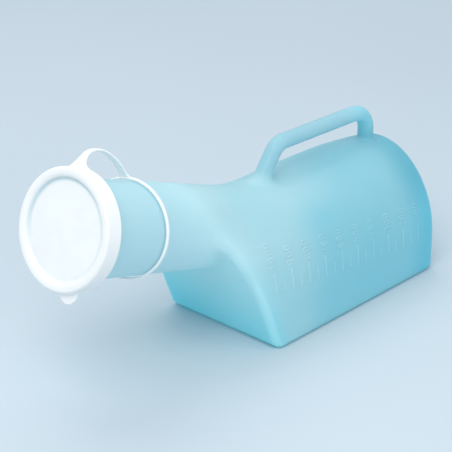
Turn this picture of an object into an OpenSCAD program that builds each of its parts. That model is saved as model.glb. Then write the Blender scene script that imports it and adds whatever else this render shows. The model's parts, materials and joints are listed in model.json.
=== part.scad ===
// Handled urine bottle that rests on a flat base, with a tethered push-on lid.
// Millimetres. Origin: middle of the flat base the bottle rests on. +Z up.
// -X points along the body towards the mouth, the graduated side faces -Y.

/* [Body] */
// Width of the flat base
body_width = 92; // [86:1:96]
// Length of the body from the foot of the front face to the rear face
body_length = 155.5; // [148:0.5:162]
// Height of the crown above the base
body_height = 88; // [84:1:92]
// Height up to which the sides stay upright
side_height = 25.6; // [20:0.2:30]
// Wall thickness of the blown bottle
wall = 1.4; // [1.0:0.1:2.0]
// Forward lean of the front face, run over rise
front_lean = 0.40; // [0.30:0.02:0.46]
// Radius between the front face and the sides
front_edge_r = 5.5; // [4:0.5:9]
// Radius between the rear face and the sides
rear_edge_r = 6; // [4:0.5:12]
// Radius along the bottom side edges
base_edge_r = 4.5; // [3.5:0.5:9]
// Drop of the crown from mid-length to the rear face
crown_drop = 5; // [3:0.5:7]

/* [Neck] */
// Upward tilt of the neck axis from the base
neck_tilt = 18; // [15:0.5:21]
// Outer radius of the neck at the mouth
neck_r = 29.1; // [28:0.1:29.2]
// Loss of neck radius per millimetre towards the body
neck_taper = 0.037; // [0.030:0.001:0.045]
// Outer radius of the bead round the mouth
bead_r = 31.6; // [30.6:0.1:31.8]
// Axial height of the mouth bead
bead_height = 3.6; // [3:0.1:4.5]

/* [Handle] */
// Radius of the handle tube
handle_r = 5.2; // [4.5:0.1:5.8]
// Height of the handle bar axis above the base at its front end
handle_z = 108.9; // [106:0.1:112]
// Distance of the rear leg behind the front edge of the base
rear_leg_x = 135.4; // [130:0.1:138]
// Distance of the foot of the front leg behind the front edge of the base
front_leg_x = 29.5; // [27:0.1:33]

/* [Lid] */
// Outer radius of the lid
lid_r = 35; // [34.6:0.1:35.5]
// Axial depth of the lid
lid_depth = 10.8; // [9.5:0.1:11.5]
// Thickness of the lid skirt
skirt_thick = 1.6; // [1.3:0.1:1.8]
// Radius of the recessed floor of the lid
recess_r = 28.1; // [27:0.1:28.5]
// Depth of the recess in the lid face
recess_depth = 2.3; // [1.6:0.1:2.6]
// Width of the pull tab
tab_width = 13.3; // [12:0.1:15]

/* [Tether] */
// Width of the strap
strap_width = 5.6; // [4.5:0.1:7]
// Thickness of the strap
strap_thick = 1.4; // [1.2:0.1:1.8]
// Inner radius of the collar ring
collar_inner_r = 28.2; // [28.2:0.1:28.8]
// Radial width of the collar ring
collar_width = 1.5; // [1.3:0.1:2.0]
// Axial thickness of the collar ring
collar_thick = 2.2; // [1.6:0.1:2.4]
// Distance of the collar ring behind the face of the lid
collar_depth = 51.2; // [50:0.1:54]

/* [Scale] */
// Distance between two 100 ml marks
mark_pitch = 15.34; // [15:0.02:15.6]
// Length of a 100 ml mark
mark_long = 13.5; // [12:0.5:15]
// Length of a 50 ml mark
mark_short = 7.5; // [6:0.5:9]
// Raised height of the marks
mark_raise = 0.45; // [0.3:0.05:0.6]

/* [Hidden] */

bottle_color = [0.66, 0.84, 0.88, 0.85];
white_color = [0.96, 0.97, 0.97];

gap = 0.01;                  // clearance between neighbouring pieces
overcut = 1;                 // how far a bore runs past the ends of its solid
half_width = body_width / 2;

// Pieces are drawn with x = 0 at the front edge of the base, then moved to the origin.
base_middle_x = 75;
module at_base() translate([-base_middle_x, 0, 0]) children();

// ---- Body: cross-sections with upright sides and an arched top ----
squareness = 2.2;            // exponent of the arch, 2 is an ellipse
front_inset = 1.08;          // x shift of the front face per unit of inset
drop_start_x = 105;          // the crown is level up to here
drop_power = 1.6;
min_corner_r = 1.2;
arch_steps = 29;
corner_steps = 5;
section_size = arch_steps + 1 + 2 * (corner_steps + 1);

function crown(x) = x < drop_start_x ? body_height :
    body_height - crown_drop
        * pow(min(1, (x - drop_start_x) / (body_length - drop_start_x)), drop_power);

// Points of one section: arch from +Y to -Y, then the bottom corners at -Y and +Y
function section(foot_x, lean, inset, crown_z) =
    let (w = half_width - inset,
         arch_height = crown_z - inset - side_height,
         r = max(base_edge_r - inset, min_corner_r))
    concat(
        [for (i = [0:arch_steps])
            let (c = cos(180 * i / arch_steps),
                 s = max(0, sin(180 * i / arch_steps)),
                 y = sign(c) * w * pow(abs(c), 2 / squareness),
                 z = side_height + arch_height * pow(s, 2 / squareness))
            [foot_x - lean * z, y, z]],
        // corner = [side, start angle]
        [for (corner = [[-1, 180], [1, 270]]) for (i = [0:corner_steps])
            let (angle = corner[1] + 90 * i / corner_steps,
                 y = corner[0] * (w - r) + r * cos(angle),
                 z = inset + r + r * sin(angle))
            [foot_x - lean * z, y, z]]);

// [foot x, lean, inset, crown height] of each section, from front to rear
function stations(inset) =
    let (front_r = front_edge_r - inset,
         rear_r = rear_edge_r - inset,
         front_x = inset * front_inset,
         rear_x = body_length - inset,
         length = rear_x - front_x)
    concat(
        [for (i = [0:4]) let (a = 90 - 22.5 * i)
            [front_x + front_r * (1 - sin(a)), front_lean,
             inset + front_r * (1 - cos(a)), crown(0)]],
        [for (i = [1:9]) let (f = i / 10)
            [front_x + front_r + f * (length - front_r - rear_r),
             front_lean * (1 - f), inset,
             crown(front_x + front_edge_r + f * (length - front_edge_r - rear_edge_r))]],
        [for (i = [0:5]) let (a = 18 * i, x = rear_x - rear_r * (1 - sin(a)))
            [x, 0, inset + rear_r * (1 - cos(a)), crown(x)]]);

// Body shape with its surface moved inwards by the inset
module body_solid(inset) {
    rows = stations(inset);
    n = section_size;
    last = len(rows) - 1;
    polyhedron(
        points = [for (row = rows) each section(row[0], row[1], row[2], row[3])],
        faces = concat(
            [[for (i = [0:n - 1]) i]],
            [[for (i = [n - 1:-1:0]) last * n + i]],
            [for (j = [0:last - 1]) for (i = [0:n - 1]) let (k = (i + 1) % n)
                [j * n + i, (j + 1) * n + i, (j + 1) * n + k]],
            [for (j = [0:last - 1]) for (i = [0:n - 1]) let (k = (i + 1) % n)
                [j * n + i, (j + 1) * n + k, j * n + k]]),
        convexity = 4);
}

// ---- Neck frame: origin at the lid face, z out of the mouth, x up and off the axis ----
// Depths are measured along the axis behind the lid face.
lid_face_centre = [-130.1, 0, 111.9];
mouth_depth = 3.8;
root_depth = 100;            // from here on the neck is straight
neck_end_depth = 165;
hole_front_depth = 60;       // front end of the cutter for the neck hole
module on_neck() translate(lid_face_centre) rotate([0, -(90 - neck_tilt), 0]) children();
function neck_radius(depth) = neck_r - neck_taper * (depth - mouth_depth);
root_r = neck_radius(root_depth);

// Neck shape, narrowed by inset and lengthened by extra at both ends
module neck_shape(inset, extra) on_neck() rotate_extrude($fn = 96) polygon([
    [0, -neck_end_depth - extra],
    [root_r - inset, -neck_end_depth - extra],
    [root_r - inset, -root_depth],
    [neck_radius(mouth_depth - extra) - inset, extra - mouth_depth],
    [0, extra - mouth_depth]]);

// Many-sided hole for the neck: two twelve-sided prisms turned by half a side
module neck_hole() {
    length = neck_end_depth - hole_front_depth;
    corner_r = (root_r + gap) / cos(15);
    on_neck() translate([0, 0, -neck_end_depth - gap]) intersection() {
        cylinder(h = length, r = corner_r, $fn = 12);
        rotate([0, 0, 15]) cylinder(h = length, r = corner_r, $fn = 12);
    }
}

module bottle_body() color(bottle_color) at_base() difference() {
    body_solid(0);
    body_solid(wall);
    neck_hole();
}

module bottle_neck() color(bottle_color) at_base() difference() {
    neck_shape(0, 0);
    neck_shape(wall, overcut);
    body_solid(wall);
}

bead_bevel = [0.6, 0.8];     // radial, axial
module mouth_bead() {
    rear_depth = mouth_depth + bead_height;
    color(bottle_color) at_base() on_neck() rotate_extrude($fn = 96) polygon([
        [neck_radius(mouth_depth) + gap, -mouth_depth],
        [bead_r - bead_bevel[0], -mouth_depth],
        [bead_r, -mouth_depth - bead_bevel[1]],
        [bead_r, -rear_depth + bead_bevel[1]],
        [bead_r - bead_bevel[0], -rear_depth],
        [neck_radius(rear_depth) + gap, -rear_depth]]);
}

// ---- Handle: a round tube in the centre plane, points are [x, z] ----
front_foot_z = 84;
rear_foot_z = 79;
front_leg_slope = 0.735;     // run over rise
bar_drop = 2.6;              // fall of the bar axis from front to rear corner
front_bend_r = 12;
rear_bend_r = 13.5;
bend_gap = 0.02;             // degrees left free at each end of a bend
front_foot = [front_leg_x, front_foot_z];
front_corner = [front_leg_x + (handle_z - front_foot_z) * front_leg_slope, handle_z];
rear_corner = [rear_leg_x, handle_z - bar_drop];
rear_foot = [rear_leg_x, rear_foot_z];

function direction(from, to) = atan2(to[1] - from[1], to[0] - from[0]);
function along(point, angle, distance) = point + distance * [cos(angle), sin(angle)];
// Distance from a corner to where its bend starts
function setback(radius, dir_in, dir_out) = radius * tan((dir_in - dir_out) / 2);

front_leg_dir = direction(front_foot, front_corner);
bar_dir = direction(front_corner, rear_corner);
rear_leg_dir = -90;
front_setback = setback(front_bend_r, front_leg_dir, bar_dir);
rear_setback = setback(rear_bend_r, bar_dir, rear_leg_dir);

module rod(from, to)
    translate([from[0], 0, from[1]]) rotate([0, 90 - direction(from, to), 0])
        cylinder(h = norm(to - from), r = handle_r, $fn = 48);

module bend(corner, dir_in, dir_out, radius) {
    start = along(corner, dir_in, -setback(radius, dir_in, dir_out));
    centre = along(start, dir_in - 90, radius);
    translate([centre[0], 0, centre[1]])
        rotate([90, 0, 0]) rotate([0, 0, dir_out + 90 + bend_gap])
            rotate_extrude(angle = dir_in - dir_out - 2 * bend_gap, $fn = 72)
                translate([radius, 0]) circle(r = handle_r, $fn = 48);
}

module handle_bar() color(bottle_color) at_base()
    rod(along(front_corner, bar_dir, front_setback), along(rear_corner, bar_dir, -rear_setback));

module handle_front_bend() color(bottle_color) at_base()
    bend(front_corner, front_leg_dir, bar_dir, front_bend_r);

module handle_rear_bend() color(bottle_color) at_base()
    bend(rear_corner, bar_dir, rear_leg_dir, rear_bend_r);

// The box trims the leg level with the crown
trim_size = [60, 40];
trim_z = 40;
module handle_front_leg() color(bottle_color) at_base() difference() {
    rod(front_foot, along(front_corner, front_leg_dir, -front_setback));
    translate([front_leg_x - trim_size[0] / 2, -trim_size[1] / 2, trim_z])
        cube([trim_size[0], trim_size[1], body_height + 2 * gap - trim_z]);
}

module handle_rear_leg() color(bottle_color) at_base() difference() {
    rod(rear_foot, along(rear_corner, rear_leg_dir, rear_setback));
    body_solid(-gap);
}

// ---- Graduation: raised marks that follow the arched side ----
first_mark_x = -2;           // the 1000 ml mark
first_mark_z = 39;           // its lower end
mark_row_fall = 0.101;       // fall of the row towards the rear, per millimetre
mark_lift = 0.06;            // underside of the marks above the body surface
long_mark_width = 1.1;
short_mark_width = 0.9;
function mark_x(i) = first_mark_x + i * mark_pitch;
function mark_z(x) = first_mark_z - mark_row_fall * (x - first_mark_x);

// Distance of the side surface from the centre plane, plus a lift
function side_distance(x, z, lift) =
    let (q = max(0, z - side_height) / (crown(x) - side_height))
    half_width * pow(1 - pow(q, squareness), 1 / squareness) + lift;

// Upright band on the graduated side, centred on x and rising from z
module side_band(x, z, height, width, steps = 8) {
    levels = [for (i = [0:steps]) z + height * i / steps];
    translate([x + width / 2, 0, 0]) rotate([90, 0, -90]) linear_extrude(height = width)
        polygon(concat(
            [for (i = [0:steps]) [side_distance(x, levels[i], mark_lift), levels[i]]],
            [for (i = [steps:-1:0])
                [side_distance(x, levels[i], mark_lift + mark_raise), levels[i]]]));
}

module graduation_long_marks() color(bottle_color) at_base()
    for (i = [0:9]) let (x = mark_x(i))
        side_band(x, mark_z(x), mark_long, long_mark_width);

module graduation_short_marks() color(bottle_color) at_base()
    for (i = [0:8]) let (x = mark_x(i + 0.5))
        side_band(x, mark_z(x), mark_short, short_mark_width);

// Strokes of the digits 0 to 9 on a 2 by 4 grid, each [x0, y0, x1, y1]
digit_strokes = [
    [[0, 0, 2, 0], [2, 0, 2, 4], [2, 4, 0, 4], [0, 4, 0, 0]],
    [[1, 0, 1, 4]],
    [[0, 4, 2, 4], [2, 4, 2, 2], [2, 2, 0, 2], [0, 2, 0, 0], [0, 0, 2, 0]],
    [[0, 4, 2, 4], [2, 4, 2, 0], [2, 2, 0.4, 2], [2, 0, 0, 0]],
    [[0, 4, 0, 2], [0, 2, 2, 2], [2, 4, 2, 0]],
    [[2, 4, 0, 4], [0, 4, 0, 2], [0, 2, 2, 2], [2, 2, 2, 0], [2, 0, 0, 0]],
    [[2, 4, 0, 4], [0, 4, 0, 0], [0, 0, 2, 0], [2, 0, 2, 2], [2, 2, 0, 2]],
    [[0, 4, 2, 4], [2, 4, 2, 0]],
    [[0, 0, 2, 0], [2, 0, 2, 4], [2, 4, 0, 4], [0, 4, 0, 0], [0, 2, 2, 2]],
    [[2, 2, 0, 2], [0, 2, 0, 4], [0, 4, 2, 4], [2, 4, 2, 0], [2, 0, 0, 0]]];
grid_step = 1.25;
stroke_width = 0.75;
digit_pitch = 4.1;
numeral_gap = 2.2;           // from the end of a mark to its number
cutter_start = 4;            // outside the widest part of the side
cutter_depth = 24;
numeral_band_width = 8;
numeral_band_below = 2;
numeral_band_height = 20;

module digit(value)
    for (s = digit_strokes[value])
        let (x0 = min(s[0], s[2]), x1 = max(s[0], s[2]),
             y0 = min(s[1], s[3]), y1 = max(s[1], s[3]))
        translate([x0 * grid_step - stroke_width / 2, y0 * grid_step - stroke_width / 2])
            square([(x1 - x0) * grid_step + stroke_width, (y1 - y0) * grid_step + stroke_width]);

// Deep number, upright to read when the bottle stands on its rear face
module number(value, x, z) {
    digits = value >= 1000 ? [1, 0, 0, 0] : [value / 100, 0, 0];
    for (i = [0:len(digits) - 1])
        translate([x + 2 * grid_step, -half_width - cutter_start, z + i * digit_pitch])
            rotate([0, -90, 0]) rotate([-90, 0, 0])
                linear_extrude(height = cutter_depth) mirror([0, 1, 0]) digit(digits[i]);
}

module graduation_numerals() color(bottle_color) at_base()
    for (i = [0:9]) let (x = mark_x(i), z = mark_z(x) + mark_long + numeral_gap)
        intersection() {
            side_band(x, z - numeral_band_below, numeral_band_height, numeral_band_width, 16);
            number(1000 - 100 * i, x, z);
        }

// ---- Collar ring, loose and tilted on the neck ----
collar_tilt = [8.1, -2.95, 0];
collar_outer_r = collar_inner_r + collar_width;
collar_cutter_height = 8;
module on_collar() on_neck() translate([0, 0, -collar_depth]) rotate(collar_tilt) children();

module collar_ring() color(white_color) at_base() on_collar() difference() {
    translate([0, 0, -collar_thick / 2])
        cylinder(h = collar_thick, r = collar_outer_r, $fn = 96);
    translate([0, 0, -collar_thick / 2 - overcut])
        cylinder(h = collar_thick + 2 * overcut, r = collar_inner_r, $fn = 96);
}

// ---- Tether strap: an arched flat band from the lid's yoke to the collar ----
tether_turn = 10;            // place of the tether on the lid, about the neck axis
hinge_depth = 13.55;         // flexing line of the tether, behind the lid face
hinge_r = 41.05;             // and its distance from the neck axis
strap_yaw = 3.25;
link_share = 0.2;            // share of the strap that belongs to the end link
link_start = 0.004;          // curve parameter where the link's band starts
link_gap = 0.002;            // curve parameter left free between link and strap
// Control points after the hinge at [0, 0]: [distance behind it, distance outwards]
strap_curve = [[4.99, 5.06], [19.92, 6.7], [35.25, -11.62]];

module on_tether() on_neck() rotate([0, 0, tether_turn]) children();
module at_hinge() on_tether() translate([hinge_r, 0, -hinge_depth]) children();

// Cubic Bezier curve, its unit tangent, and a point off to one side of it
function curve_point(t) = let (q = 1 - t)
    3 * q * q * t * strap_curve[0] + 3 * q * t * t * strap_curve[1] + t * t * t * strap_curve[2];
function curve_tangent(t) =
    let (q = 1 - t,
         d = 3 * q * q * strap_curve[0] + 6 * q * t * (strap_curve[1] - strap_curve[0])
             + 3 * t * t * (strap_curve[2] - strap_curve[1]))
    d / norm(d);
function curve_offset(t, distance) = let (d = curve_tangent(t))
    curve_point(t) + distance * [-d[1], d[0]];

module strap_part(t0, t1, steps)
    at_hinge() rotate([strap_yaw, 0, 0]) rotate([90, 90, 0])
        translate([0, 0, -strap_width / 2]) linear_extrude(height = strap_width)
            polygon(concat(
                [for (i = [0:steps])
                    curve_offset(t0 + (t1 - t0) * i / steps, strap_thick / 2)],
                [for (i = [steps:-1:0])
                    curve_offset(t0 + (t1 - t0) * i / steps, -strap_thick / 2)]));

module tether_strap() color(white_color) at_base() difference() {
    strap_part(link_share + link_gap, 1, 24);
    on_collar() translate([0, 0, -collar_cutter_height / 2])
        cylinder(h = collar_cutter_height, r = collar_outer_r + gap, $fn = 96);
}

module strap_end_link() color(white_color) at_base() union() {
    strap_part(link_start, link_share, 4);
    at_hinge() rotate([90, 0, 0]) translate([0, 0, -strap_width / 2])
        cylinder(h = strap_width, r = strap_thick / 2, $fn = 32);
}

// ---- Lid ----
lid_floor_thick = 1.4;
plate_rear = recess_depth + lid_floor_thick;

// Profiles are [radius, z] in the neck frame
module lid_face() color(white_color) at_base() on_neck() rotate_extrude($fn = 96) polygon([
    [0, -plate_rear], [0, -recess_depth], [recess_r, -recess_depth],
    [recess_r + 1.9, -recess_depth * 0.42], [recess_r + 3.5, -0.08],
    [lid_r - 2.6, 0], [lid_r - 1.2, -0.06], [lid_r - 0.4, -0.5],
    [lid_r, -1.3], [lid_r, -plate_rear]]);

module lid_skirt() color(white_color) at_base() on_neck() rotate_extrude($fn = 96) polygon([
    [lid_r - skirt_thick, -plate_rear - gap], [lid_r, -plate_rear - gap],
    [lid_r, -lid_depth + 0.5], [lid_r - 0.4, -lid_depth],
    [lid_r - skirt_thick + 0.3, -lid_depth], [lid_r - skirt_thick, -lid_depth + 0.4]]);

// Clears the inside of the lid from a tab or yoke, down to a depth behind the face
cutter_front = 2;            // the cutter's reach in front of the lid face
module lid_cutter(depth) translate([0, 0, -depth])
    cylinder(h = depth + cutter_front, r = lid_r + gap, $fn = 96);

tab_turn = 16.5;             // from the lowest point towards the graduated side
tab_thick = 1.7;
tab_rear_depth = 5.8;
tab_inset = 0.3;             // centre of the tab's disc inside the lid's edge
module lid_pull_tab() color(white_color) at_base() on_neck() rotate([0, 0, tab_turn])
    difference() {
        translate([-lid_r + tab_inset, 0, -tab_rear_depth])
            cylinder(h = tab_thick, r = tab_width / 2, $fn = 64);
        lid_cutter(12);
    }

// Yoke: flared plate from the lid's rear edge up to the flexing line
yoke_depth = 9.8;
yoke_r = lid_r - 0.4;
yoke_thick = 1.6;
yoke_flare = 4.2;            // widening on each side at the lid
yoke_flare_power = 1.8;
yoke_root = 1.5;             // length of the plate below its start, inside the lid's edge
yoke_run = [hinge_r - yoke_r, hinge_depth - yoke_depth];
yoke_length = norm(yoke_run) - 2.2;   // the plate stops short of the flexing line
yoke_angle = atan2(yoke_run[1], yoke_run[0]);
yoke_steps = 10;

function yoke_half_width(v) = strap_width / 2
    + yoke_flare * pow(max(0, 1 - v / yoke_length), yoke_flare_power);
function yoke_edge(i, side) =
    let (v = -yoke_root + (yoke_length + yoke_root) * i / yoke_steps)
    [v, side * yoke_half_width(max(0, v))];

module lid_strap_yoke() color(white_color) at_base() on_tether() difference() {
    translate([yoke_r, 0, -yoke_depth]) rotate([0, yoke_angle, 0])
        translate([0, 0, -yoke_thick / 2]) linear_extrude(height = yoke_thick)
            polygon(concat(
                [for (i = [0:yoke_steps]) yoke_edge(i, 1)],
                [for (i = [yoke_steps:-1:0]) yoke_edge(i, -1)]));
    lid_cutter(13);
}

bottle_body();
bottle_neck();
mouth_bead();
handle_bar();
handle_front_bend();
handle_rear_bend();
handle_front_leg();
handle_rear_leg();
graduation_long_marks();
graduation_short_marks();
graduation_numerals();
collar_ring();
tether_strap();
strap_end_link();
lid_face();
lid_skirt();
lid_pull_tab();
lid_strap_yoke();
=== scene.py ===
"""A blown, milky bottle lying on its flat base, with a raised scale and a tethered snap lid.

Row frame: z is up and the base rests near z = 0. The neck points forward (-x) and upwards, the
rear face looks along +x, the handle runs along the top, and the scale is on the -y side.
Shapes are worked out in millimetres and written to meshes in metres; shaders work in metres.
Neck frame (h, y, s): h up and away from the neck axis, y across, s behind the lid's front plane.
"""

import json
import math

import bpy
import numpy as np
from mathutils import Matrix, Vector


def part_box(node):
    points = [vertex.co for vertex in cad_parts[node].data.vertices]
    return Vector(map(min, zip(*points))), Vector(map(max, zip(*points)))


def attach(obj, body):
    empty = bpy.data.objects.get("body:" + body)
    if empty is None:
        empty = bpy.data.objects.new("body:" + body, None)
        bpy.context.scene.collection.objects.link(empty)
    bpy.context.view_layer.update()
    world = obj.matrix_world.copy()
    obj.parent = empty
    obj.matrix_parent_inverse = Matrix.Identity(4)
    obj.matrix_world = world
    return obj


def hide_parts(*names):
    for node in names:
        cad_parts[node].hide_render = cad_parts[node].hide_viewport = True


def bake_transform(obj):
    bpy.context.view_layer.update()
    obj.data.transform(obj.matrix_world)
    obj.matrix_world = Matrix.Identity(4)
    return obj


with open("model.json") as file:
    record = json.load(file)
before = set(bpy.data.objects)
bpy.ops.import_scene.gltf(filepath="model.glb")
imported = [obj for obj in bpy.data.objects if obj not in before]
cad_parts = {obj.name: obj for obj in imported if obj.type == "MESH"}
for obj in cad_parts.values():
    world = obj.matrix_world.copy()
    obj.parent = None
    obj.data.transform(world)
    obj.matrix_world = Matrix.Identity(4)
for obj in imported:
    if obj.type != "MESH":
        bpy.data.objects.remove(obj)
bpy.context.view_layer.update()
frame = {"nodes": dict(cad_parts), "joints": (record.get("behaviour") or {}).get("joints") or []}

MM = 0.001
COLLAR_JOINT = next(j for j in frame["joints"] if j["name"] == "collar_turn")
MOUTH = np.array(COLLAR_JOINT["pos_m"], float) * 1000.0        # middle of the lid's front plane
OUT = np.array(COLLAR_JOINT["axis"], float)                    # out of the mouth
OUT /= np.linalg.norm(OUT)
ACROSS = np.array([0.0, 1.0, 0.0])
AWAY = np.cross(ACROSS, OUT)                                   # off the neck axis, upwards
BODY_LO, BODY_HI = (np.array(v) * 1000.0 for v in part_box("bottle_body"))
HALF_WIDTH = (BODY_HI[1] - BODY_LO[1]) / 2
REAR = BODY_HI[0]                                              # x of the rear face
FRONT = -75.0                                                  # x of the base's front edge
LEAN = 0.40                                                    # forward lean of the front face
BOTTLE_STEP = 0.72
LID_STEP = 0.42


# ---------------------------------------------------------------- distance helpers
def round_max(a, b, radius):
    """Greater of two distances, the edge between them rounded to the radius."""
    return (np.minimum(np.maximum(a, b), -radius)
            + np.hypot(np.maximum(a + radius, 0), np.maximum(b + radius, 0)))


def fill_min(a, b, width):
    """Smaller of two distances, the corner between them filled over the width."""
    part = np.maximum(width - np.abs(a - b), 0) / width
    return np.minimum(a, b) - part * part * width * 0.25


def rounded(a, b, radius):
    """Rectangle with rounded corners; a and b are distances to its sides moved in by the radius."""
    return (np.hypot(np.maximum(a, 0), np.maximum(b, 0))
            + np.minimum(np.maximum(a, b), 0) - radius)


def ease(x, start, end):
    t = np.clip((x - start) / (end - start), 0, 1)
    return t * t * (3 - 2 * t)


def bezier(t, p0, p1, p2, p3):
    return (1 - t) ** 3 * p0 + 3 * (1 - t) ** 2 * t * p1 + 3 * (1 - t) * t * t * p2 + t ** 3 * p3


def run_length(points):
    """Length along a path at each of its points."""
    return np.concatenate([[0], np.cumsum(np.linalg.norm(np.diff(points, axis=0), axis=1))])


def to_neck(x, y, z):
    """h and s of the neck frame, and the distance from the axis."""
    dx, dz = x - MOUTH[0], z - MOUTH[2]
    s = -(dx * OUT[0] + dz * OUT[2])
    h = dx * AWAY[0] + dz * AWAY[2]
    return h, s, np.hypot(h, y)


def from_neck(points):
    """Neck frame (h, y, s) to the row frame."""
    return (MOUTH + points[..., 0:1] * AWAY + points[..., 1:2] * ACROSS
            - points[..., 2:3] * OUT)


def turn_about_axis(h, y, angle):
    """(h, y) as seen from a frame turned about the neck axis."""
    return (h * math.cos(angle) + y * math.sin(angle),
            -h * math.sin(angle) + y * math.cos(angle))


# ---------------------------------------------------------------- shape of the bottle
BODY_HEIGHT = 88.0
SIDE_HEIGHT = 25.6                      # the sides stand upright up to here
DROP_START = 105                        # behind FRONT, where the top begins to fall
REAR_DROP, DROP_POWER = 5, 1.6
ARCH_POWER = 2.2                        # 2 is an ellipse, less is more pointed
ARCH_POINTING, ARCH_RANGE = 0.24, (70, 150)  # power lost at the rear, and over which stretch
MAX_SLOPE_SIZE = 70.0                   # keeps the distance sound where the arch is flat
DISH_DEPTH = 0.9                        # the base is slightly hollow inside its rim
DISH_SIDE, DISH_FRONT, DISH_REAR = (9, 17), (10, 20), (12, 22)  # fades, in from each edge
BASE_ROUND, FRONT_ROUND, REAR_ROUND = 4.5, 5.5, 6.0

WALL = 2.0
MOUTH_S = 3.8                           # s of the neck's open end
NECK_RADIUS, NECK_TAPER, NECK_LENGTH = 29.1, 0.037, 160
NECK_SLOPE = 0.9993                     # makes up for the taper
NECK_FILL, UNDER_NECK_LESS, UNDER_NECK = 10.0, 5.5, (4, 16)  # less fill below the axis
BEAD_RADIUS, BEAD_S = 29.5, 5.6
BEAD_HALF_THICK, BEAD_HALF_LENGTH, BEAD_ROUND = 2.1, 1.8, 1.1
MOUTH_ROUND, BEAD_FILL = 0.5, 1.6

# Handle centre line, (behind FRONT, z)
LEG_RISE, LEG_SLOPE = 24.9, 0.735       # the front leg slopes back as it rises
HANDLE_START = np.array([29.5, 84.0])
HANDLE_FRONT = HANDLE_START + LEG_RISE * np.array([LEG_SLOPE, 1.0])
HANDLE_REAR = np.array([135.4, 106.3])
HANDLE_END = np.array([135.4, 79.0])
FRONT_BEND, REAR_BEND = 12.0, 13.5
BAR_RADIUS, BAR_DEEP, BAR_WIDE = 5.2, 0.94, 1.03  # oval section
BAR_SLOPE = 0.95
HANDLE_FILL, HANDLE_FILL_LESS, HANDLE_FILL_RANGE = 6.0, 3.0, (0, 30)


def body_distance(x, y, z):
    length = x - FRONT
    drop = np.clip((length - DROP_START) / (REAR - FRONT - DROP_START), 0, 1)
    rise = BODY_HEIGHT - REAR_DROP * drop ** DROP_POWER - SIDE_HEIGHT
    power = ARCH_POWER - ARCH_POINTING * ease(length, *ARCH_RANGE)
    u = np.abs(y) / HALF_WIDTH
    v = np.maximum(z - SIDE_HEIGHT, 0) / rise
    arch = np.maximum(u ** power + v ** power, 1e-6) ** (1 / power)
    slope = np.hypot(u ** (power - 1) / HALF_WIDTH, v ** (power - 1) / rise)
    slope = np.maximum(slope * arch ** (1 - power), 1 / MAX_SLOPE_SIZE)
    side = (arch - 1) / slope
    dish = (DISH_DEPTH * ease(HALF_WIDTH - np.abs(y), *DISH_SIDE)
            * ease(length, *DISH_FRONT) * ease(REAR - x, *DISH_REAR))
    d = round_max(side, dish - z, BASE_ROUND)
    d = round_max(d, -(length + LEAN * z) / math.hypot(1, LEAN), FRONT_ROUND)
    return round_max(d, x - REAR, REAR_ROUND)


def segment_distance(x, z, start, end):
    ax, az = start
    bx, bz = end[0] - ax, end[1] - az
    t = np.clip(((x - ax) * bx + (z - az) * bz) / (bx * bx + bz * bz), 0, 1)
    return np.hypot(x - ax - t * bx, z - az - t * bz)


def bend_arc(before, corner, after, radius):
    """Start, end, centre and radius of the arc that rounds a corner."""
    arriving = (corner - before) / np.linalg.norm(corner - before)
    leaving = (after - corner) / np.linalg.norm(after - corner)
    turn = math.acos(float(np.clip(arriving @ leaving, -1, 1)))
    cut = radius * math.tan(turn / 2)
    inward = leaving - arriving
    inward = inward / np.linalg.norm(inward)
    centre = corner + inward * (radius / math.cos(turn / 2))
    return corner - arriving * cut, corner + leaving * cut, centre, radius


BENDS = (bend_arc(HANDLE_START, HANDLE_FRONT, HANDLE_REAR, FRONT_BEND),
         bend_arc(HANDLE_FRONT, HANDLE_REAR, HANDLE_END, REAR_BEND))


def handle_distance(x, y, z):
    length = x - FRONT
    path = segment_distance(length, z, BENDS[-1][1], HANDLE_END)
    straight = HANDLE_START
    for start, end, centre, radius in BENDS:
        path = np.minimum(path, segment_distance(length, z, straight, start))
        middle = (start + end) / 2 - centre
        middle = middle / np.linalg.norm(middle)
        half_cos = float(((start - centre) / radius) @ middle)
        dx, dz = length - centre[0], z - centre[1]
        dist = np.hypot(dx, dz)
        inside = (dx * middle[0] + dz * middle[1]) > half_cos * np.maximum(dist, 1e-6)
        path = np.minimum(path, np.where(inside, np.abs(dist - radius), 1e3))
        straight = end
    return (np.hypot(path / BAR_DEEP, y / BAR_WIDE) - BAR_RADIUS) * BAR_SLOPE


def outer_distance(x, y, z):
    """Outside of the blown bottle, carried on past the mouth."""
    h, s, rho = to_neck(x, y, z)
    radius = NECK_RADIUS - NECK_TAPER * (s - MOUTH_S)
    neck = np.maximum((rho - radius) * NECK_SLOPE, s - NECK_LENGTH)
    d = fill_min(body_distance(x, y, z), neck,
                 NECK_FILL - UNDER_NECK_LESS * ease(-h, *UNDER_NECK))
    return fill_min(d, handle_distance(x, y, z),
                    HANDLE_FILL - HANDLE_FILL_LESS * ease(x, *HANDLE_FILL_RANGE))


def bottle_distance(x, y, z):
    """The hollow wall, open at the mouth, with the bead round it."""
    shell = np.abs(outer_distance(x, y, z) + WALL / 2) - WALL / 2
    _, s, rho = to_neck(x, y, z)
    shell = round_max(shell, MOUTH_S - s, MOUTH_ROUND)
    bead = rounded(np.abs(rho - BEAD_RADIUS) - (BEAD_HALF_THICK - BEAD_ROUND),
                   np.abs(s - BEAD_S) - (BEAD_HALF_LENGTH - BEAD_ROUND), BEAD_ROUND)
    return fill_min(shell, bead, BEAD_FILL)


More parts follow.
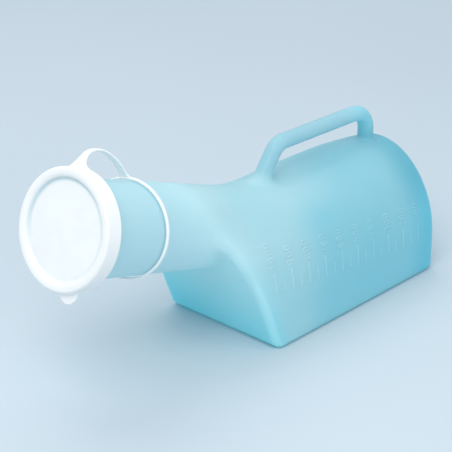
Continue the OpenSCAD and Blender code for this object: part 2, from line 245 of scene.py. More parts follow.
# ---------------------------------------------------------------- shape of the lid
FACE_ROUND, LID_RADIUS, LID_ROUND, LID_DEPTH, LID_EDGE = 3.2, 35.0, 1.5, 10.8, 0.45
RECESS_RADIUS, RECESS_DEPTH, RECESS_ROUND = 28.2, 2.4, 0.2
RECESS_FLARE, RECESS_SLOPE = 0.25, 0.97
DOME_RADIUS, DOME_RISE = 28.0, 0.6      # the recess floor swells forward in the middle
CAVITY_RADIUS, CAVITY_S, CAVITY_ROUND, CAVITY_EDGE = 33.4, 3.5, 0.8, 0.35
SNAP_RADIUS, SNAP_S, SNAP_THICK, SNAP_FILL = 33.65, 9.55, 0.75, 0.5
TAB_ANGLE = math.radians(16.5)          # from the lowest point towards the scale
TAB_OUT, TAB_RADIUS, TAB_S, TAB_HALF_THICK = 34.6, 6.65, 4.95, 0.95
TAB_ROUND, TAB_FILL = 0.6, 1.6

TETHER_ANGLE = math.radians(10.0)       # the tether's place, from the highest point towards +y
# Yoke centre line in (h, s) of the turned frame: leaves outwards, arrives along the strap
YOKE_ROOT, FLEX_LINE = np.array([34.1, 9.7]), np.array([41.05, 13.55])
YOKE = bezier(np.linspace(0, 1, 9)[:, None], YOKE_ROOT, YOKE_ROOT + np.array([2.6, 0.6]),
              FLEX_LINE - np.array([2.1, 2.0]), FLEX_LINE)
YOKE_RUN = run_length(YOKE)
YOKE_NARROW, YOKE_EXTRA, YOKE_FADE, YOKE_POWER = 2.5, 4.5, 10.0, 2.2
YOKE_HALF_THICK, YOKE_ROUND, YOKE_END_ROUND, YOKE_FILL = 0.75, 0.55, 0.1, 2.2
BEND_REACH = 4.2                        # soft bend, each side of the flexing line


def yoke_half_width(along):
    """Half the width of the yoke, by the length from its root."""
    return YOKE_NARROW + YOKE_EXTRA * np.clip(1 - along / YOKE_FADE, 0, 1) ** YOKE_POWER


def yoke_distance(h, y, s):
    h, y = turn_about_axis(h, y, TETHER_ANGLE)
    best = np.full(h.shape, 1e3)
    along = np.zeros(h.shape)
    for i in range(len(YOKE) - 1):
        start = YOKE[i]
        step = YOKE[i + 1] - start
        t = np.clip(((h - start[0]) * step[0] + (s - start[1]) * step[1]) / (step @ step), 0, 1)
        dist = np.hypot(h - start[0] - t * step[0], s - start[1] - t * step[1])
        near = dist < best
        best = np.where(near, dist, best)
        along = np.where(near, YOKE_RUN[i] + t * (YOKE_RUN[i + 1] - YOKE_RUN[i]), along)
    plate = round_max(best - YOKE_HALF_THICK, np.abs(y) - yoke_half_width(along), YOKE_ROUND)
    # it ends where the soft bend starts
    ahead = YOKE[-1] - YOKE[-2]
    ahead = ahead / np.linalg.norm(ahead)
    end = FLEX_LINE - ahead * BEND_REACH
    beyond = (h - end[0]) * ahead[0] + (s - end[1]) * ahead[1]
    return round_max(plate, beyond, YOKE_END_ROUND)


def lid_distance(h, y, s):
    rho = np.hypot(h, y)
    floor = RECESS_DEPTH - DOME_RISE * np.clip(1 - (rho / DOME_RADIUS) ** 2, 0, 1)
    wall = (rho - RECESS_RADIUS - (RECESS_DEPTH - s) * RECESS_FLARE) * RECESS_SLOPE
    recess = round_max(wall, s - floor, RECESS_ROUND)
    d = round_max(-s, -recess, FACE_ROUND)
    d = round_max(d, rho - LID_RADIUS, LID_ROUND)
    d = round_max(d, s - LID_DEPTH, LID_EDGE)
    # the pull tab, a round lobe on the skirt
    tab_h, tab_y = turn_about_axis(h, y, TAB_ANGLE)
    tab = rounded(np.hypot(tab_h + TAB_OUT, tab_y) - TAB_RADIUS + TAB_ROUND,
                  np.abs(s - TAB_S) - TAB_HALF_THICK + TAB_ROUND, TAB_ROUND)
    d = fill_min(d, tab, TAB_FILL)
    d = fill_min(d, yoke_distance(h, y, s), YOKE_FILL)
    cavity = round_max(rho - CAVITY_RADIUS, CAVITY_S - s, CAVITY_ROUND)
    d = round_max(d, -cavity, CAVITY_EDGE)
    snap = np.hypot(rho - SNAP_RADIUS, s - SNAP_S) - SNAP_THICK
    return fill_min(d, snap, SNAP_FILL)


# ---------------------------------------------------------------- meshes from distances
SLAB = 12                               # grid layers sampled at once, to save memory


def sample(distance, axes):
    """Distances on a grid, in single precision."""
    field = np.empty(tuple(len(a) for a in axes), np.float32)
    grid_y, grid_z = np.meshgrid(axes[1].astype(np.float32), axes[2].astype(np.float32),
                                 indexing="ij")
    for i in range(0, len(axes[0]), SLAB):
        slab = axes[0][i:i + SLAB].astype(np.float32)[:, None, None]
        grid_x = np.broadcast_to(slab, (len(slab),) + grid_y.shape)
        field[i:i + SLAB] = distance(grid_x, np.broadcast_to(grid_y, grid_x.shape),
                                     np.broadcast_to(grid_z, grid_x.shape))
    return field


def sum_at(index, values, size):
    """Rows of values added up by index."""
    return np.stack([np.bincount(index, values[:, i], size) for i in range(3)], 1)


def gradient(distance, points, reach):
    grad = np.empty_like(points)
    for i in range(3):
        ahead, behind = points.copy(), points.copy()
        ahead[..., i] += reach
        behind[..., i] -= reach
        grad[..., i] = (distance(*np.moveaxis(ahead, -1, 0))
                        - distance(*np.moveaxis(behind, -1, 0))) / (2 * reach)
    return grad


def surface_net(distance, low, high, step):
    """Quads round every grid edge that crosses the surface, one point per crossed cell."""
    count = np.ceil((high - low) / step).astype(int) + 1
    field = sample(distance, [low[i] + step * np.arange(count[i]) for i in range(3)])
    inside = field < 0
    cells = count - 1
    quads, crossings = [], []
    for axis in range(3):
        b, c = (axis + 1) % 3, (axis + 2) % 3
        near, far = [slice(None)] * 3, [slice(None)] * 3
        near[axis], far[axis] = slice(0, -1), slice(1, None)
        first = np.stack(np.nonzero(inside[tuple(near)] != inside[tuple(far)]), 1)
        second = first.copy()
        second[:, axis] += 1
        d0, d1 = field[tuple(first.T)].astype(float), field[tuple(second.T)].astype(float)
        crossing = low + step * first
        crossing[:, axis] += step * d0 / (d0 - d1)
        quad = []
        for shift_b, shift_c in ((0, 0), (-1, 0), (-1, -1), (0, -1)):
            cell = first.copy()
            cell[:, b] += shift_b
            cell[:, c] += shift_c
            quad.append((cell[:, 0] * cells[1] + cell[:, 1]) * cells[2] + cell[:, 2])
        quad = np.stack(quad, 1)
        back = d0 > 0
        quad[back] = quad[back][:, ::-1]
        quads.append(quad)
        crossings.append(crossing)
    index = np.unique(np.concatenate(quads).ravel(), return_inverse=True)[1].reshape(-1)
    uses = np.bincount(index).astype(float)
    corners = np.repeat(np.concatenate(crossings), 4, axis=0)
    return sum_at(index, corners, len(uses)) / uses[:, None], index.reshape(-1, 4)


def surface(distance, low, high, step, rounds=3):
    """Closed quad mesh, its points drawn exactly onto distance 0 and spread evenly."""
    points, faces = surface_net(distance, np.array(low, float), np.array(high, float), step)

    def land(points, grad):
        steep = np.maximum((grad * grad).sum(1), 0.09)
        move = np.clip(distance(*points.T) / steep, -0.5 * step, 0.5 * step)
        return points - move[:, None] * grad

    reach, pull = 0.02, 0.6             # gradient step; part of the way to the neighbours' mean
    grad = gradient(distance, points, reach)
    points = land(points, grad)
    size = len(points)
    start, end = faces.ravel(), np.roll(faces, -1, 1).ravel()
    links = np.bincount(start, minlength=size) + np.bincount(end, minlength=size)
    for _ in range(rounds):
        total = sum_at(start, points[end], size) + sum_at(end, points[start], size)
        normal = grad / np.maximum(np.linalg.norm(grad, axis=1), 1e-6)[:, None]
        move = total / links[:, None] - points
        move -= (move * normal).sum(1)[:, None] * normal
        points = points + pull * move
        grad = gradient(distance, points, reach)
        points = land(points, grad)
    return land(points, grad), faces


# ---------------------------------------------------------------- meshes from rings
def tube_faces(rings, size, closed):
    """Quads between successive rings; an open tube is capped at both ends."""
    faces = []
    for i in range(rings if closed else rings - 1):
        j = (i + 1) % rings
        for c in range(size):
            d = (c + 1) % size
            faces.append((i * size + c, i * size + d, j * size + d, j * size + c))
    if not closed:
        for i, turn in ((0, 1), (rings - 1, -1)):
            ring = [i * size + c for c in range(size)][::-turn]
            for c in range(1, size // 2):
                faces.append((ring[c - 1], ring[c], ring[size - 1 - c], ring[size - c]))
    return np.array(faces, int)


def outward(points, faces):
    """Faces of a closed mesh turned so that they look outwards."""
    a, b, c, d = (points[faces[:, i]] for i in range(4))
    volume = (np.cross(b - a, c - a) * a).sum() + (np.cross(c - a, d - a) * a).sum()
    return faces if volume > 0 else faces[:, ::-1]


def section(count, half_width, half_height, power):
    """Rounded rectangle."""
    t = np.linspace(0, 2 * math.pi, count, endpoint=False)
    c, s = np.cos(t), np.sin(t)
    return np.stack([half_width * np.sign(c) * np.abs(c) ** (2 / power),
                     half_height * np.sign(s) * np.abs(s) ** (2 / power)], 1)


def make(name, points, faces, material):
    """Smooth mesh object from millimetre points and quads."""
    faces = np.asarray(faces, np.int32)
    mesh = bpy.data.meshes.new(name)
    mesh.vertices.add(len(points))
    mesh.vertices.foreach_set("co", (points * MM).astype(np.float32).ravel())
    mesh.loops.add(faces.size)
    mesh.loops.foreach_set("vertex_index", faces.ravel())
    mesh.polygons.add(len(faces))
    mesh.polygons.foreach_set("loop_start", np.arange(0, faces.size, 4, dtype=np.int32))
    mesh.update(calc_edges=True)
    mesh.validate()
    mesh.polygons.foreach_set("use_smooth", np.ones(len(mesh.polygons), bool))
    mesh.update()
    mesh.materials.append(material)
    obj = bpy.data.objects.new(name, mesh)
    bpy.context.scene.collection.objects.link(obj)
    return obj


# ---------------------------------------------------------------- materials
class NodeNet:
    """A node material under construction."""

    def __init__(self, name):
        self.material = bpy.data.materials.new(name)
        self.material.use_nodes = True
        self.tree = self.material.node_tree
        self.tree.nodes.clear()
        self.place = self.node("ShaderNodeTexCoord", {}).outputs["Object"]

    def node(self, kind, inputs, **settings):
        """New node; inputs maps socket names or numbers to values or sockets."""
        node = self.tree.nodes.new(kind)
        for key, value in settings.items():
            setattr(node, key, value)
        for key, value in inputs.items():
            if isinstance(value, bpy.types.NodeSocket):
                self.tree.links.new(value, node.inputs[key])
            else:
                node.inputs[key].default_value = value
        return node

    def noise(self, scale, detail=3.0, rough=0.5, vector=None):
        inputs = {"Vector": vector or self.place, "Scale": scale, "Detail": detail,
                  "Roughness": rough}
        return self.node("ShaderNodeTexNoise", inputs).outputs["Fac"]

    def math(self, operation, a, b=0.0):
        return self.node("ShaderNodeMath", {0: a, 1: b, 2: 0.0}, operation=operation).outputs[0]

    def add(self, a, b):
        return self.math("ADD", a, b)

    def sub(self, a, b):
        return self.math("SUBTRACT", a, b)

    def mul(self, first, *others):
        for other in others:
            first = self.math("MULTIPLY", first, other)
        return first

    def span(self, value, start, end, low=0.0, high=1.0):
        """Eases from low to high as the value goes from start to end."""
        inputs = dict(enumerate((value, start, end, low, high)))
        return self.node("ShaderNodeMapRange", inputs,
                         interpolation_type="SMOOTHSTEP").outputs[0]

    def mix(self, part, a, b):
        return self.node("ShaderNodeMix", {0: part, 6: a, 7: b}, data_type="RGBA").outputs[2]

    def bump(self, height, distance, strength, normal=None):
        inputs = {"Height": height, "Distance": distance, "Strength": strength}
        if normal is not None:
            inputs["Normal"] = normal
        return self.node("ShaderNodeBump", inputs).outputs[0]

    def axes(self, vector):
        return self.node("ShaderNodeSeparateXYZ", {0: vector}).outputs

    def finish(self, shader):
        self.node("ShaderNodeOutputMaterial", {"Surface": shader.outputs[0]})
        return self.material


def bottle_material(name, lift=0.0):
    """Milky, slightly aqua polyethylene that lets light through, with painted shade and painted
    light by place; lift makes it paler.
    """
    net = NodeNet(name)
    x, y, z = net.axes(net.place)
    pale = (0.605 + lift, 0.85 + lift * 0.4, 0.89 + lift * 0.3, 1)
    # paler colour of the neck: painted light, as if lit from above
    clear = (0.705 + lift, 0.872 + lift * 0.3, 0.895 + lift * 0.2, 1)
    # colour of the deepest painted shade
    shade_colour = (0.20 + lift, 0.715 + lift * 0.5, 0.84 + lift * 0.3, 1)
    highlight_colour = (0.70 + lift, 0.90 + lift * 0.3, 0.93 + lift * 0.3, 1)
    handle_colour = (0.475 + lift, 0.76, 0.835, 1)
    mouth_colour, back_shade_colour = (0.575, 0.775, 0.83, 1), (0.14, 0.54, 0.66, 1)
    rim_highlight_colour = (0.66, 0.90, 0.94, 1)

    # masks by place
    low = net.span(z, start=0.085, end=0.012)
    rear = net.span(x, start=0.048, end=0.078)
    front = net.span(net.add(x, net.mul(z, LEAN)), start=-0.060, end=-0.078)
    neck = net.span(x, start=-0.070, end=-0.115)
    handle = net.mul(net.span(z, start=0.090, end=0.098), net.span(x, start=-0.060, end=-0.045))
    top = net.mul(net.span(z, start=0.068, end=0.084), net.span(x, start=0.015, end=-0.030))

    # painted shade: darker behind the front, low down, at the rear and on the front face, kept
    # paler on the lit top; a random cloud of tone is added
    behind = net.span(x, start=-0.060, end=-0.020)
    painted_shade_and_cloud = net.mul(behind, net.sub(0.46, net.mul(top, 0.40)))
    painted_shade_and_cloud = net.add(net.mul(low, 0.13), painted_shade_and_cloud)
    painted_shade_and_cloud = net.add(painted_shade_and_cloud, net.mul(rear, 0.54))
    painted_shade_and_cloud = net.add(painted_shade_and_cloud, net.mul(front, net.span(y, start=-0.010, end=0.046), 0.35))
    painted_shade_and_cloud = net.add(painted_shade_and_cloud, net.mul(front, net.span(z, start=0.085, end=0.060), 0.55))
    painted_shade_and_cloud = net.mul(painted_shade_and_cloud, net.sub(1.0, neck))
    cloud = net.noise(scale=26.0, detail=3.0, rough=0.55)
    painted_shade_and_cloud = net.add(painted_shade_and_cloud, net.mul(net.sub(cloud, 0.5), 0.30))
    painted_shade_and_cloud = net.node("ShaderNodeClamp", {0: painted_shade_and_cloud}).outputs[0]
    # painted light: the neck is mixed towards its paler colour and left out of the painted shade
    neck_part = net.mul(neck, 0.75)
    colour = net.mix(neck_part, net.mix(painted_shade_and_cloud, pale, shade_colour), clear)

    # painted highlight: paler along the two side edges of the front face
    line = net.add(net.add(x, net.mul(z, LEAN)), 0.0732)
    line = net.span(net.math("ABSOLUTE", line), start=0.0040, end=0.0008)
    line = net.mul(line, net.span(net.math("ABSOLUTE", y), start=0.0395, end=0.0440))
    colour = net.mix(net.mul(line, 0.6), colour, highlight_colour)
    colour = net.mix(handle, colour, handle_colour)
    near_lid = net.span(x, start=-0.100, end=-0.150)
    colour = net.mix(net.mul(near_lid, 0.8), colour, mouth_colour)
    # painted shade: the upper rear is darkened towards deep blue
    back = net.mul(net.span(x, start=0.040, end=0.076), net.span(z, start=0.042, end=0.068))
    colour = net.mix(net.mul(back, 0.55), colour, back_shade_colour)
    # painted highlight: a pale line round the rear face, stronger on the scale side
    rim_highlight = net.math("ABSOLUTE", net.sub(x, REAR * MM - 0.0022))
    rim_highlight = net.span(rim_highlight, start=0.0022, end=0.0008)
    rim_highlight = net.mul(rim_highlight, net.span(y, start=0.010, end=-0.010, low=0.25, high=1.0))
    colour = net.mix(net.mul(rim_highlight, 0.5), colour, rim_highlight_colour)
    # painted light: lightens the shaded base edge through the glow below
    base_edge_glow = net.span(z, start=0.0050, end=0.0010)
    # painted highlight: paler where the wall is seen at a grazing angle
    grazing_highlight = net.node("ShaderNodeLayerWeight", {"Blend": 0.22}).outputs["Facing"]
    colour = net.mix(net.mul(grazing_highlight, 0.55), colour, highlight_colour)

    # faint flow of the blown wall, and the fine grain of the mould
    drawn = net.node("ShaderNodeMapping", {"Vector": net.place, "Scale": (18.0, 60.0, 60.0)})
    flow = net.noise(scale=1.0, detail=2.0, vector=drawn.outputs[0])
    normal = net.bump(flow, distance=0.0006, strength=0.35)
    grain = net.noise(scale=1400.0, detail=2.0)
    normal = net.bump(grain, distance=0.00004, strength=0.5, normal=normal)
    rough = net.span(net.noise(scale=90.0, detail=4.0), start=0.3, end=0.7, low=0.30, high=0.42)
    skin = net.node("ShaderNodeBsdfPrincipled", {
        "Base Color": colour, "Roughness": rough, "IOR": 1.5, "Specular IOR Level": 0.42,
        "Normal": normal})
    through = net.node("ShaderNodeBsdfTranslucent", {"Color": colour, "Normal": normal})
    through_part = 0.46
    wall = net.node("ShaderNodeMixShader",
                    {0: through_part, 1: skin.outputs[0], 2: through.outputs[0]})

    # painted light: an emission makes the wall glow a little everywhere, most where these masks add
    # up
    painted_glow_strength = net.add(net.mul(front, 0.058), net.mul(low, 0.016))
    painted_glow_strength = net.add(painted_glow_strength, net.mul(neck, 0.004))
    painted_glow_strength = net.add(painted_glow_strength, net.mul(net.add(base_edge_glow, net.add(rim_highlight, line)), 0.030))
    painted_glow_strength = net.add(painted_glow_strength, net.mul(front, net.span(y, start=-0.010, end=0.046), 0.028))
    painted_glow_strength = net.add(painted_glow_strength, net.mul(handle, net.span(x, start=0.030, end=0.055), 0.06))
    glow_body, glow_neck, glow_base = (0.10, 0.94, 1.0, 1), (0.75, 0.95, 1.0, 1), 0.010
    glow_colour = net.mix(net.mul(neck, 0.8), glow_body, glow_neck)
    glow = net.node("ShaderNodeEmission",
                    {"Color": glow_colour, "Strength": net.add(painted_glow_strength, glow_base)})
    return net.finish(net.node("ShaderNodeAddShader", {0: wall.outputs[0], 1: glow.outputs[0]}))


def lid_material(name):
    """Soft white polyethylene, satin, with a fine moulded grain, a little depth and a painted shade
    in the recess's crease.
    """
    net = NodeNet(name)
    tone = net.span(net.noise(scale=45.0), start=0.35, end=0.65)
    colour = net.mix(tone, (0.88, 0.89, 0.885, 1), (0.91, 0.915, 0.91, 1))
    # painted shade: the crease at the foot of the recess is darkened bluish, most along its upper
    # half
    offset = net.node("ShaderNodeVectorMath", {0: net.place, 1: tuple(MOUTH * MM)},
                      operation="SUBTRACT")
    x, y, z = net.axes(offset.outputs[0])
    h = net.add(net.mul(x, float(AWAY[0])), net.mul(z, float(AWAY[2])))
    out = net.add(net.mul(x, float(OUT[0])), net.mul(z, float(OUT[2])))
    rho = net.math("SQRT", net.add(net.mul(h, h), net.mul(y, y)))
    crease_shade = net.mul(net.span(rho, start=0.0262, end=0.0285),
                     net.span(rho, start=0.0320, end=0.0288),
                     net.span(out, start=-0.0002, end=-0.0016),
                     net.span(out, start=-0.0050, end=-0.0035),
                     net.span(h, start=-0.026, end=0.026, low=0.12, high=0.62))
    crease_shade_colour = (0.42, 0.62, 0.68, 1)
    colour = net.mix(crease_shade, colour, crease_shade_colour)
    normal = net.bump(net.noise(scale=900.0, detail=2.0), distance=0.00005, strength=0.6)
    waves = net.noise(scale=70.0, detail=2.0)
    normal = net.bump(waves, distance=0.0003, strength=0.3, normal=normal)
    rough = net.span(net.noise(scale=120.0), start=0.3, end=0.7, low=0.32, high=0.45)
    return net.finish(net.node("ShaderNodeBsdfPrincipled", {
        "Base Color": colour, "Roughness": rough, "IOR": 1.5, "Specular IOR Level": 0.45,
        "Subsurface Weight": 0.35, "Subsurface Radius": (1.0, 0.9, 0.85),
        "Subsurface Scale": 0.0016, "Normal": normal}))


def floor_material(name):
    """Matt blue-grey paper, faintly uneven."""
    net = NodeNet(name)
    tone = net.span(net.noise(scale=2.0, detail=2.0), start=0.3, end=0.7)
    colour = net.mix(tone, (0.53, 0.615, 0.675, 1), (0.555, 0.64, 0.695, 1))
    return net.finish(net.node("ShaderNodeBsdfPrincipled",
                               {"Base Color": colour, "Roughness": 0.75}))


BOTTLE = bottle_material("bottle_polyethylene")
MARKS = bottle_material("bottle_polyethylene_raised", lift=0.11)
WHITE = lid_material("lid_polyethylene")


# ---------------------------------------------------------------- bottle
def build_bottle():
    """Body, neck, bead and handle in one wall."""
    points, faces = surface(bottle_distance, (-212.013, -47.537, -1.611),
                            (REAR + 1.6, 47.6, 143.5), BOTTLE_STEP)
    bottle = make("bottle_moulding", points, faces, BOTTLE)
    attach(bottle, "bottle")
    parts = ("bottle_body", "bottle_neck", "mouth_bead", "handle_bar", "handle_front_bend",
             "handle_rear_bend", "handle_front_leg", "handle_rear_leg")
    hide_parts(*[part for part in parts if part in frame["nodes"]])


# ---------------------------------------------------------------- raised scale
PITCH, FIRST_MARK = 15.34, -2.0         # FIRST_MARK is behind FRONT
LONG_MARKS = 10
SCALE_Z, SCALE_FALL = 39.0, 0.101       # foot of the first mark, and its fall towards the rear
LONG, SHORT = (13.5, 1.15, 0.5), (7.5, 0.95, 0.45)  # length, width, height
FIGURE_GAP, DIGIT_PITCH, DIGIT_HEIGHT = 2.2, 4.1, 5.0
FIGURE_WIDTH, FIGURE_HEIGHT = 0.72, 0.38
TOP_VALUE, VALUE_STEP = 1000, 100
SINK = 0.02                             # ribbons start this far below the wall's surface
ROOT_DEPTH, ROOT_SPREAD = 0.5, 0.9      # closed underneath, inside the wall

# Numerals as strokes of (across, up) in a box 2.5 by 5; a kind is (closed, smoothing rounds)
STRAIGHT, CURVE, LOOP = (False, 0), (False, 3), (True, 3)
SIX = [(2.1, 4.6), (1.6, 5.1), (0.9, 4.9), (0.1, 3.4), (0.1, 1.0), (0.7, 0.0),
       (1.9, 0.0), (2.45, 0.9), (2.35, 2.4), (1.6, 3.0), (0.9, 2.9), (0.2, 2.0)]
GLYPHS = {
    0: [(LOOP, [(0.15, 1), (0.15, 4), (1.25, 5.2), (2.35, 4), (2.35, 1), (1.25, -0.2)])],
    1: [(STRAIGHT, [(0.5, 4.1), (1.35, 5.0), (1.35, 0)])],
    2: [(CURVE, [(0.2, 3.9), (0.3, 5.1), (2.2, 5.2), (2.5, 3.6), (1.5, 2.2), (0.15, 0.0)]),
        (STRAIGHT, [(0.15, 0.0), (2.4, 0.0)])],
    3: [(CURVE, [(0.2, 4.3), (0.5, 5.1), (2.3, 5.1), (2.3, 2.75), (0.9, 2.75)]),
        (CURVE, [(0.9, 2.75), (2.55, 2.7), (2.5, -0.1), (0.4, -0.1), (0.1, 0.9)])],
    4: [(STRAIGHT, [(1.75, 0), (1.75, 5), (0.1, 1.5), (2.45, 1.5)])],
    5: [(STRAIGHT, [(2.25, 5), (0.45, 5), (0.3, 2.8)]),
        (CURVE, [(0.3, 2.8), (1.3, 3.5), (2.5, 2.9), (2.5, 0.2), (1.2, -0.2), (0.1, 0.8)])],
    6: [(CURVE, SIX)],
    7: [(STRAIGHT, [(0.15, 5), (2.4, 5), (1.0, 0)])],
    8: [(LOOP, [(0.3, 3.1), (0.25, 4.9), (1.25, 5.2), (2.25, 4.9), (2.2, 3.1), (1.25, 2.7)]),
        (LOOP, [(0.1, 0.2), (0.1, 2.4), (1.25, 2.9), (2.4, 2.4), (2.4, 0.2), (1.25, -0.2)])],
    9: [(CURVE, [(2.5 - a, 5.0 - b) for a, b in SIX])],
}


def on_side(x, z):
    """Points on the -y side at (x, z), and the outward direction there."""
    low, high = np.full(x.shape, -HALF_WIDTH - 2.0), np.full(x.shape, -2.0)
    for _ in range(26):
        middle = (low + high) / 2
        outside = outer_distance(x, middle, z) > 0
        low, high = np.where(outside, middle, low), np.where(outside, high, middle)
    points = np.stack([x, (low + high) / 2, z], -1)
    grad = gradient(outer_distance, points, 0.05)
    return points, grad / np.linalg.norm(grad, axis=-1, keepdims=True)


def ribbon(path, width, height, closed=False, across=8):
    """A rounded raised line on the side wall along an (x, z) path."""
    if closed:
        along = np.roll(path, -1, 0) - np.roll(path, 1, 0)
    else:
        along = np.gradient(path, axis=0)
    along /= np.maximum(np.linalg.norm(along, axis=1), 1e-9)[:, None]
    sideways = np.stack([-along[:, 1], along[:, 0]], 1)
    full = np.ones(len(path))
    if not closed:                      # the ends are rounded off
        run = run_length(path)
        radius = width / 2
        near = np.minimum(run, run[-1] - run)
        full = np.sqrt(np.clip(1 - np.clip((radius - near) / radius, 0, 1) ** 2, 0.02, 1))

    def side_row(offset):
        place = path + sideways * (offset * width / 2 * full)[:, None]
        return on_side(place[:, 0], place[:, 1])

    rows = []
    for angle in np.linspace(0, math.pi, across):
        points, normals = side_row(np.cos(angle))
        rise = np.sin(angle) ** 0.8 * height * full - SINK
        rows.append(points + normals * rise[:, None])
    for offset in (-ROOT_SPREAD, ROOT_SPREAD):
        points, normals = side_row(offset)
        rows.append(points - normals * ROOT_DEPTH)
    rings = np.stack(rows, 1)
    points = rings.reshape(-1, 3)
    return points, outward(points, tube_faces(*rings.shape[:2], closed))


def smoothed(path, rounds, closed):
    """The path with its corners cut, rounds times over."""
    path = np.asarray(path, float)
    for _ in range(rounds):
        start, end = (path, np.roll(path, -1, 0)) if closed else (path[:-1], path[1:])
        cut = np.stack([0.75 * start + 0.25 * end, 0.25 * start + 0.75 * end], 1).reshape(-1, 2)
        path = cut if closed else np.concatenate([path[:1], cut, path[-1:]])
    return path


def spaced(path, step, closed=False):
    """The same path with evenly spaced points."""
    whole = np.concatenate([path, path[:1]]) if closed else path
    run = run_length(whole)
    count = max(4, int(run[-1] / step) + 1)
    t = np.linspace(0, run[-1], count + 1)[:-1] if closed else np.linspace(0, run[-1], count)
    return np.stack([np.interp(t, run, whole[:, i]) for i in range(2)], 1)


def scale_place(index):
    """How far behind FRONT a mark stands, and the height of its foot."""
    length = FIRST_MARK + index * PITCH
    return length, SCALE_Z - SCALE_FALL * (length - FIRST_MARK)


def mark(index, length, width, height):
    x, z = scale_place(index)
    upright = np.array([[x + FRONT, z], [x + FRONT, z + length]])
    return ribbon(spaced(upright, 0.4), width, height)


def figure(index):
    """Ribbons of the number above a long mark, written upwards."""
    x, z = scale_place(index)
    z = z + LONG[0] + FIGURE_GAP
    strokes = []
    for place, digit in enumerate(str(TOP_VALUE - VALUE_STEP * index)):
        for (closed, rounds), points in GLYPHS[int(digit)]:
            path = spaced(smoothed(points, rounds, closed), 0.28, closed)
            path = np.stack([x + FRONT + DIGIT_HEIGHT / 2 - path[:, 1],
                             z + place * DIGIT_PITCH + path[:, 0]], 1)
            strokes.append(ribbon(path, FIGURE_WIDTH, FIGURE_HEIGHT, closed, across=7))
    return strokes


def make_raised(name, parts, *replaced):
    """One object of many ribbons, riding on the bottle."""
    starts = np.cumsum([0] + [len(points) for points, _ in parts])
    points = np.concatenate([points for points, _ in parts])
    faces = np.concatenate([faces + start for (_, faces), start in zip(parts, starts)])
    raised = make(name, points, faces, MARKS)
    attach(raised, "bottle")
    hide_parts(*replaced)


def build_scale():
    marks, figures = [], []
    for i in range(LONG_MARKS):
        marks.append(mark(i, *LONG))
        if i < LONG_MARKS - 1:
            marks.append(mark(i + 0.5, *SHORT))
        figures += figure(i)
    make_raised("graduation_marks", marks, "graduation_long_marks", "graduation_short_marks")
    make_raised("graduation_figures", figures, "graduation_numerals")


# ---------------------------------------------------------------- lid and collar
def build_lid():
    """Lid with its yoke and pull tab."""
    points, faces = surface(lid_distance, (-42.637, -36.271, -1.231), (44.6, 36.3, 16.4),
                            LID_STEP)
    lid = make("lid_moulding", from_neck(points), faces[:, ::-1], WHITE)
    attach(lid, "lid")
    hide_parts("lid_face", "lid_skirt", "lid_pull_tab", "lid_strap_yoke")


COLLAR_S, COLLAR_RADIUS = 51.2, 28.95
COLLAR_TILT = (("Y", -2.95), ("X", 8.1))  # degrees
COLLAR_RINGS, COLLAR_SIDES = 180, 24


def build_collar():
    """A slightly tilted band round the neck."""
    outline = section(COLLAR_SIDES, half_width=0.75, half_height=1.1, power=2.8)
    radius = COLLAR_RADIUS + outline[:, 0]
    rings = []
    for i in range(COLLAR_RINGS):
        a = 2 * math.pi * i / COLLAR_RINGS
        rings.append(np.stack([radius * math.cos(a), radius * math.sin(a), outline[:, 1]], 1))
    first, second = (np.array(Matrix.Rotation(math.radians(angle), 3, axis))
                     for axis, angle in COLLAR_TILT)
    # the collar's third axis points out of the mouth, against s
    points = np.concatenate(rings) @ (first @ second).T + np.array([0, 0, -COLLAR_S])
    points = from_neck(points * np.array([1, 1, -1]))
    faces = outward(points, tube_faces(COLLAR_RINGS, COLLAR_SIDES, closed=True))
    collar = make("collar_band", points, faces, WHITE)
    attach(collar, "collar")
    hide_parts("collar_ring")


# ---------------------------------------------------------------- tether strap
STRAP_YAW = math.radians(3.25)
# Control points of the arch after the flexing line, (along, away from the axis)
ARCH = np.array([[0.0, 0.0], [4.99, 5.06], [19.92, 6.7], [35.25, -11.62]])
STRAP_HALF_THICK, STRAP_POWER, STRAP_SIDES = 0.72, 3.4, 20


def strap_line():
    """Centre line (h, y, s) from inside the yoke to the collar, and its run from the flex."""
    arch = bezier(np.linspace(0, 1, 60)[:, None], *ARCH)
    arch = np.stack([FLEX_LINE[0] + arch[:, 1], arch[:, 0] * math.sin(STRAP_YAW),
                     FLEX_LINE[1] + arch[:, 0] * math.cos(STRAP_YAW)], 1)
    yoke = np.stack([YOKE[:, 0], np.zeros(len(YOKE)), YOKE[:, 1]], 1)
    line = np.concatenate([yoke[:-1], arch])
    run = run_length(line)
    run -= run[len(yoke) - 1]
    near = np.clip(1 - np.abs(run) / 3.0, 0, 1)[:, None]
    for _ in range(6):                  # ease the join of yoke and arch
        smooth = line.copy()
        smooth[1:-1] = 0.25 * line[:-2] + 0.5 * line[1:-1] + 0.25 * line[2:]
        line = line * (1 - near) + smooth * near
    return line, run


STRAP, STRAP_RUN = strap_line()
STRAP_END = STRAP_RUN[-1]


def strap_at(u):
    return np.stack([np.interp(u, STRAP_RUN, STRAP[:, i]) for i in range(3)], 1)


def strap_half_width(u):
    """Broad at the lid, slimmer over the arch, a little broader at the collar."""
    arch = YOKE_NARROW - 0.2 * ease(u, 0, 9) + 0.6 * ease(u, 15, 34)
    width = np.where(u < 0, yoke_half_width(u + YOKE_RUN[-1]), arch)
    return width + 1.2 * np.clip((u - (STRAP_END - 3.0)) / 3.0, 0, 1) ** 2


def strap_to_row(points):
    """The tether's turned neck frame to the row frame."""
    h, y = turn_about_axis(points[:, 0], points[:, 1], -TETHER_ANGLE)
    return from_neck(np.stack([h, y, points[:, 2]], 1))


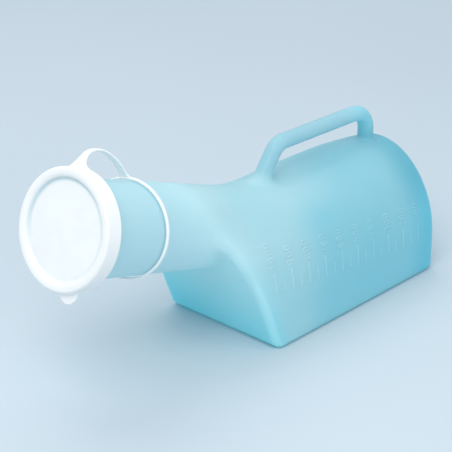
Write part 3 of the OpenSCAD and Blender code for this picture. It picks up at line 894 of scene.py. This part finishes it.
def make_strap(name, start, end, count):
    """Stretch of the strap between two runs."""
    u = np.linspace(start, end, count)
    centre = strap_at(u)
    along = strap_at(u + 0.15) - strap_at(u - 0.15)
    along[0] = strap_at(u[:1] + 0.3)[0] - centre[0]
    along[-1] = centre[-1] - strap_at(u[-1:] - 0.3)[0]
    along /= np.linalg.norm(along, axis=1)[:, None]
    part = ease(u, -6, 4)[:, None]      # turns from the yoke's direction to the arch's
    yawed = np.array([0.0, math.cos(STRAP_YAW), -math.sin(STRAP_YAW)])
    across = (1 - part) * ACROSS + part * yawed
    across = across - (across * along).sum(1)[:, None] * along
    across /= np.linalg.norm(across, axis=1)[:, None]
    normal = np.cross(along, across)
    half_width = strap_half_width(u)
    rings = []
    for i in range(count):
        outline = section(STRAP_SIDES, half_width[i], STRAP_HALF_THICK, STRAP_POWER)
        rings.append(centre[i] + outline[:, 0:1] * across[i] + outline[:, 1:2] * normal[i])
    points = strap_to_row(np.concatenate(rings))
    faces = outward(points, tube_faces(count, STRAP_SIDES, closed=False))
    return make(name, points, faces, WHITE)


def build_strap():
    bend = make_strap("strap_bend", -BEND_REACH - 0.3, BEND_REACH + 0.05, 40)
    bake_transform(bend)
    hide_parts("strap_end_link")
    arch = make_strap("strap_arch", BEND_REACH - 0.05, STRAP_END, 96)
    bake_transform(arch)
    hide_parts("tether_strap")


# ---------------------------------------------------------------- floor, light and camera
def build_floor(half=6):
    mesh = bpy.data.meshes.new("floor")
    corners = [(-half, -half, 0), (half, -half, 0), (half, half, 0), (-half, half, 0)]
    mesh.from_pydata(corners, [], [(0, 1, 2, 3)])
    floor = bpy.data.objects.new("floor", mesh)
    bpy.context.scene.collection.objects.link(floor)
    mesh.materials.append(floor_material("floor_paper"))


def build_world():
    world = bpy.data.worlds.new("studio")
    bpy.context.scene.world = world
    world.use_nodes = True
    background = world.node_tree.nodes["Background"]
    background.inputs["Color"].default_value = (0.88, 0.94, 1.0, 1)
    background.inputs["Strength"].default_value = 0.72


def area(name, place, target, size, power, colour):
    lamp = bpy.data.lights.new(name, "AREA")
    lamp.shape = "RECTANGLE"
    lamp.size, lamp.size_y = size
    lamp.energy = power
    lamp.color = colour
    obj = bpy.data.objects.new(name, lamp)
    obj.location = place
    obj.rotation_mode = "QUATERNION"
    obj.rotation_quaternion = (Vector(target) - Vector(place)).to_track_quat("-Z", "Y")
    bpy.context.scene.collection.objects.link(obj)


def build_lights():
    area("key", place=(-0.82, -0.35, 1.08), target=(-0.08, 0, 0.06), size=(0.7, 0.7),
         power=7.5, colour=(1.0, 0.985, 0.96))
    area("top", place=(0.05, 0.45, 1.15), target=(-0.03, 0, 0.05), size=(1.0, 0.8),
         power=4.0, colour=(0.97, 0.99, 1.0))
    area("side", place=(0.45, -1.15, 0.55), target=(0.0, 0, 0.05), size=(0.7, 0.7),
         power=3.0, colour=(0.94, 0.98, 1.0))


def build_camera():
    heading, pitch = math.radians(42.8), math.radians(25.2)  # from +x towards +y; downwards
    right = Vector((math.sin(heading), -math.cos(heading), 0))
    ahead = Vector((math.cos(heading) * math.cos(pitch), math.sin(heading) * math.cos(pitch),
                    -math.sin(pitch)))
    rotation = Matrix((right, right.cross(ahead), -ahead)).transposed()
    lens = bpy.data.cameras.new("camera")
    lens.sensor_fit = "HORIZONTAL"
    lens.sensor_width = 36.0
    lens.lens = 143.362832
    lens.clip_start, lens.clip_end = 0.01, 60
    camera = bpy.data.objects.new("camera", lens)
    camera.matrix_world = (Matrix.Translation((-0.7974, -0.6709, 0.5333))
                           @ rotation.to_4x4())
    scene = bpy.context.scene
    scene.collection.objects.link(camera)
    scene.camera = camera
    scene.view_settings.view_transform = "Standard"
    scene.view_settings.look = "None"
    scene.view_settings.exposure = 0.0


build_bottle()
build_scale()
build_lid()
build_collar()
build_strap()
build_floor()
build_world()
build_lights()
build_camera()

bpy.context.view_layer.update()
